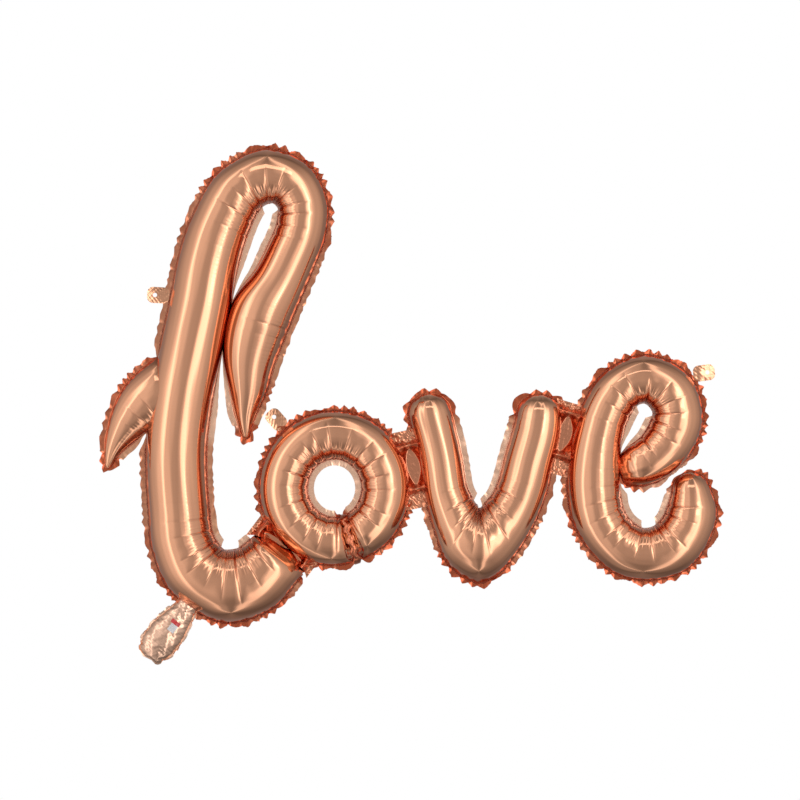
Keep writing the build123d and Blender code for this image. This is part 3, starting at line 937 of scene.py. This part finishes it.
def web(pair, weld, above, below, inset, seed):
    """The film between two letters: an eye-shaped weld, a puffed neck at each of its ends, and hem.

    It reaches up to above and below past the weld's ends, from which its necks are inset.
    """
    x0, z0, x1, z1 = weld
    length = math.hypot(x1 - x0, z1 - z0)
    heading = math.degrees(math.atan2(z1 - z0, x1 - x0))
    bodies = [f"letter_{letter}" for letter in pair]
    lines = [np.vstack([s.line for s in letters if s.body == body]) for body in bodies]

    def gaps_at(rows):
        centres = np.stack(place(x0, z0, heading, rows, 0.0), axis=-1)[:, None]
        return [norm(line[None] - centres, axis=2).min(axis=1) for line in lines]

    rows = np.linspace(-above, length + below, WEB_LOOKS)
    wide = sum(gaps_at(rows)) > WEB_MOUTH
    start = max(rows[wide & (rows < length / 2)], default=-above)
    end = min(rows[wide & (rows > length / 2)], default=length + below)
    rows = np.linspace(start, end, WEB_ROWS)
    gaps = [gap + WEB_TUCK for gap in gaps_at(rows)]
    share = np.linspace(-1, 1, WEB_COLUMNS)[None]
    extent = np.where(share < 0, gaps[0][:, None], gaps[1][:, None])
    along, across = np.broadcast_to(rows[:, None], extent.shape), share * extent
    inwards = (rows - inset, length - inset - rows)
    off_middle = (rows - length / 2) / (length / 2 - inset)
    eye = EYE_SHARE * np.clip(1 - off_middle**2, 0, 1)[:, None]
    rise = np.clip((np.abs(share) - eye) / (1 - eye), 0, 1)
    bump = sum(np.exp(-(((far + 3) / NECK_SPAN) ** 2)) for far in inwards)
    zone = math.prod(np.clip((far + 10) / 6, 0, 1) for far in inwards)[:, None]
    puffed = (1 - (1 - rise) * (1 - 0.8 * bump[:, None])) * zone
    folds = crinkle(seed, 5, 11.0)(along, across)
    height = 0.5 + NECK_HEIGHT * puffed + folds * (0.35 + 1.3 * (1 - zone))
    # painted shade: the web is drawn deeper red all over, most where it rises from the weld towards
    # the letters
    deep = np.clip(np.clip(rise * 2, 0, 1) * zone + 0.45, 0, 1)
    x, z = place(x0, z0, heading, along, across)
    faces = grid_faces(np.arange(along.size).reshape(along.shape))
    for face, sign in (("front", -1), ("back", 1)):
        points = np.stack([x, sign * height, z], axis=-1).reshape(-1, 3)
        name = f"web_{pair[0]}_{pair[1]}_{face}"
        piece = mesh_piece(name, points, faces, {"deep": deep.ravel()}, foil)
        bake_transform(piece)


web(("l", "o"), WEB_L_O, 18, 8, 7, 61)
web(("o", "v"), WEB_O_V, 30, 26, 0, 62)
web(("v", "e"), WEB_V_E, 26, 26, 0, 63)


def weld_ridge():
    """The crumpled weld of the o, which shows in the crease where its tube's two ends meet."""
    angle = math.radians(RING_WELD)
    way = (math.cos(angle), math.sin(angle))
    along, across = np.meshgrid(np.linspace(0, 1, 90), np.linspace(-1, 1, 13), indexing="ij")
    reach = RING_WIDE * 1.01 - O_HALF - 2 + along * (2 * O_HALF + 5)
    zigzag = 2.4 * np.abs(2 * ((along * WELD_TEETH) % 1) - 1) - 1.2
    side = across * (3.4 + 0.9 * np.sin(2 * np.pi * along * WELD_TEETH)) + zigzag
    x = RING_CENTRE[0] + reach * way[0] - side * way[1]
    z = RING_CENTRE[1] + reach * 1.02 * way[1] + side * way[0]
    profile = np.sqrt(np.clip(1 - (2 * along - 1) ** 2, 0, 1))
    height = crinkle(65, 6, 9.0)(along * 60, side)
    y = -(O_HALF * 0.80 * profile + 1.6) - 0.8 * height + 1.6 * np.abs(across) ** 1.5
    points = np.stack([x, y, z], axis=-1).reshape(-1, 3)
    faces = grid_faces(np.arange(along.size).reshape(along.shape))
    # painted shade: the weld ridge is drawn deeper red all over
    piece = mesh_piece("weld_ridge_o", points, faces, {"deep": np.full(len(points), 0.8)}, foil)
    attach(piece, "letter_o")


weld_ridge()


def tab_outline(angles):
    """Distance from a tab's hole to its rounded outline in each direction; the tab is along +u."""
    back, front = TAB_HOLE_REACH + 5.0, TAB_LENGTH - TAB_HOLE_REACH
    half_u, half_v = (back + front) / 2, TAB_WIDTH / 2
    low, high = np.zeros_like(angles), np.full_like(angles, 40.0)
    for _ in range(40):
        middle = (low + high) / 2
        u = np.abs(middle * np.cos(angles) - (front - back) / 2) - half_u + TAB_CORNER
        v = np.abs(middle * np.sin(angles)) - half_v + TAB_CORNER
        past_corner = np.hypot(np.maximum(u, 0), np.maximum(v, 0))
        outside = past_corner + np.minimum(np.maximum(u, v), 0) > TAB_CORNER
        high = np.where(outside, middle, high)
        low = np.where(outside, low, middle)
    return low


def tab(name, node, hole, heading, curl, seed):
    """A hanging tab: a crumpled tongue of film round its hole, curling out of the seam plane."""
    angles = np.linspace(0, 2 * np.pi, 97)[:-1]
    rings = np.linspace(0, 1, 15)[:, None]
    reach = TAB_HOLE_RADIUS + (tab_outline(angles)[None] - TAB_HOLE_RADIUS) * rings
    u, v = reach * np.cos(angles), reach * np.sin(angles)
    past_fold = np.maximum(u + TAB_HOLE_REACH, 0)
    height = crinkle(seed, 5, 10.0)(u, v) * (0.15 + 0.65 * rings)
    y = height + curl * (past_fold / TAB_LENGTH) ** 2 + 0.012 * v**2 * np.sign(curl)
    x, z = place(*hole, heading, u, v)
    points = np.stack([x, y, z], axis=-1).reshape(-1, 3)
    index = np.arange(len(points)).reshape(u.shape)
    faces = grid_faces(np.concatenate([index, index[:, :1]], axis=1))
    piece = mesh_piece(name, points, faces, {}, foil)
    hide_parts(node)
    start = place(*hole, heading, -TAB_HOLE_REACH - 1, 0)
    end = place(*hole, heading, -TAB_HOLE_REACH + 1, 0)
    start, end = (start[0] * MM, 0, start[1] * MM), (end[0] * MM, 0, end[1] * MM)
    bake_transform(piece)


tab("tab_l_tongue", "hanging_tab_l", (0, 0), 177, -2.5, 71)
tab("tab_o_tongue", "hanging_tab_o", (140.252, -143.652), 131, -3.0, 72)
tab("tab_e_tongue", "hanging_tab_e", (650.8, -91.147), 8, 4.0, 73)

for name in ("valve_inside_front", "valve_inside_back", "valve_mouth_front", "valve_mouth_back"):
    film = bpy.data.objects[name]
    film.data.materials.clear()
    film.data.materials.append(valve_film)


# ---- the studio ----

CENTRE = (0.2886, 0.0, -0.1237)


def lamp(name, place_at, wide, tall, radiance):
    """A soft box of that radiance, which shows in the foil as a plain bright card."""
    light = bpy.data.lights.new(name, "AREA")
    light.shape = "RECTANGLE"
    light.size, light.size_y = wide, tall
    light.energy = radiance * math.pi * wide * tall
    box = bpy.data.objects.new(name, light)
    box.location = place_at
    box.rotation_euler = (Vector(CENTRE) - Vector(place_at)).to_track_quat("-Z", "Y").to_euler()
    bpy.context.collection.objects.link(box)


lamp("softbox_top", (0.2, -1.6, 1.5), 1.5, 0.35, 1.3)
lamp("softbox_right", (1.5, -2.0, 0.3), 0.4, 0.9, 1.0)

# What the foil reflects: the room's level round about, in degrees to the right of the camera,
AROUND = (
    (-180, 0.55), (-165, 0.46), (-140, 0.34), (-122, 0.42), (-100, 0.62),
    (-78, 0.80), (-62, 1.15), (-50, 2.4), (-40, 1.0), (-24, 0.95),
    (-10, 0.60), (6, 0.54), (16, 0.92), (24, 2.2), (37, 2.5),
    (48, 1.0), (64, 0.74), (84, 0.62), (108, 0.46), (126, 0.32),
    (148, 0.34), (165, 0.46), (180, 0.55),
)
# and how much of it each height keeps, from straight down to straight up
UP_DOWN = (
    (-90, 0.50), (-50, 0.52), (-25, 0.85), (0, 1.0), (25, 1.0),
    (42, 0.85), (60, 0.62), (90, 0.50),
)


def level_ramp(graph, source, stops, limit):
    """The level at a source that goes from 0 to 1 between minus and plus that limit."""
    ramp = graph.nodes.new("ShaderNodeValToRGB")
    graph.feed(ramp.inputs[0], source)
    elements = ramp.color_ramp.elements
    for at, level in stops[1:-1]:
        elements.new((at + limit) / (2 * limit)).color = (level, level, level, 1)
    for element, (at, level) in ((elements[0], stops[0]), (elements[-1], stops[-1])):
        element.position = (at + limit) / (2 * limit)
        element.color = (level, level, level, 1)
    return ramp.outputs[0]


world = bpy.data.worlds.new("studio")
bpy.context.scene.world = world
studio = Graph(world)
room = studio.nodes["Background"]
direction = studio.nodes.new("ShaderNodeTexCoord").outputs["Generated"]
split = studio.nodes.new("ShaderNodeSeparateXYZ")
studio.feed(split.inputs[0], direction)
towards = studio.maths("MULTIPLY", split.outputs["Y"], -1.0)
azimuth = studio.maths("ARCTAN2", split.outputs["X"], towards)
azimuth = studio.maths("MULTIPLY_ADD", azimuth, 0.5 / math.pi, 0.5)
elevation = studio.maths("ARCSINE", split.outputs["Z"])
elevation = studio.maths("MULTIPLY_ADD", elevation, 1 / math.pi, 0.5)
round_about = level_ramp(studio, azimuth, AROUND, 180)
up_down = level_ramp(studio, elevation, UP_DOWN, 90)
studio.feed(room.inputs[0], studio.maths("MULTIPLY", round_about, up_down))
backdrop = studio.nodes.new("ShaderNodeBackground")
backdrop.inputs[0].default_value = (1, 1, 1, 1)
path = studio.nodes.new("ShaderNodeLightPath")
seen = studio.nodes.new("ShaderNodeMixShader")
shown = (path.outputs["Is Camera Ray"], room.outputs[0], backdrop.outputs[0])
for socket, value in zip(seen.inputs, shown):
    studio.feed(socket, value)
studio.feed(studio.nodes["World Output"].inputs[0], seen.outputs[0])

FLOOR_DROP = 0.80
bpy.ops.mesh.primitive_plane_add(size=1, location=(CENTRE[0], -0.1, -FLOOR_DROP))
floor = bpy.context.object
floor.name = "floor"
floor.scale = (3.0, 1.4, 1)
floor.data.materials.append(material("pale_floor", (0.85, 0.85, 0.85), 0.0, 0.9)[0])
floor.visible_glossy = False

CAMERA_DISTANCE = 4.0
PICTURE_WIDTH = 0.9424
SENSOR = 36.0
camera = bpy.data.cameras.new("camera")
camera.sensor_width = SENSOR
camera.lens = SENSOR * CAMERA_DISTANCE / PICTURE_WIDTH
eye = bpy.data.objects.new("camera", camera)
eye.location = (CENTRE[0], -CAMERA_DISTANCE, CENTRE[2])
eye.rotation_euler = (math.pi / 2, 0, 0)
bpy.context.collection.objects.link(eye)
bpy.context.scene.camera = eye
bpy.context.scene.view_settings.view_transform = "Standard"
